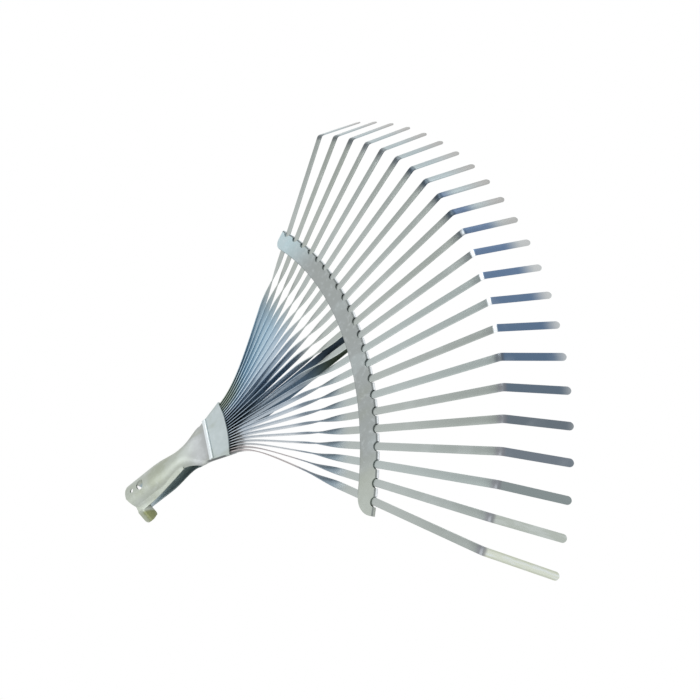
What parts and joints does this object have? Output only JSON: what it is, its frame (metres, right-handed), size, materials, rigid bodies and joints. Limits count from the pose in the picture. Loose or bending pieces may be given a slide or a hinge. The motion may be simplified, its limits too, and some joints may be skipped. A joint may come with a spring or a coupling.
{
  "type": "leaf rake",
  "caption": "Leaf rake head: fan of flat spring tines with bent tips, held by a folded brace and a pressed socket for a pole.",
  "frame": {"origin": "middle of the socket's mouth, on the handle's axis", "axes": "+Y from the mouth along the handle's axis to the tips, +Z to the upper side of the fan, +X across the fan on the side of the socket's open seam"},
  "size_m": [0.4828, 0.4455, 0.0605],
  "materials": {
    "socket_sheet": "zinc-plated pressed sheet, satin",
    "brace_sheet": "zinc-plated folded sheet, satin",
    "stay_sheet": "zinc-plated strap, satin",
    "spring_strip": "zinc-plated spring strip, bright"
  },
  "bodies": {
    "root": {"socket": "socket_sheet", "brace": "brace_sheet", "stay_strap": "stay_sheet", "tine_01": "spring_strip", "tine_02": "spring_strip", "tine_03": "spring_strip", "tine_04": "spring_strip", "tine_05": "spring_strip", "tine_06": "spring_strip", "tine_07": "spring_strip", "tine_08": "spring_strip", "tine_09": "spring_strip", "tine_10": "spring_strip", "tine_11": "spring_strip", "tine_12": "spring_strip", "tine_13": "spring_strip", "tine_14": "spring_strip", "tine_15": "spring_strip", "tine_16": "spring_strip", "tine_17": "spring_strip", "tine_18": "spring_strip", "tine_19": "spring_strip", "tine_20": "spring_strip", "tine_21": "spring_strip", "tine_22": "spring_strip"}
  },
  "joints": []
}
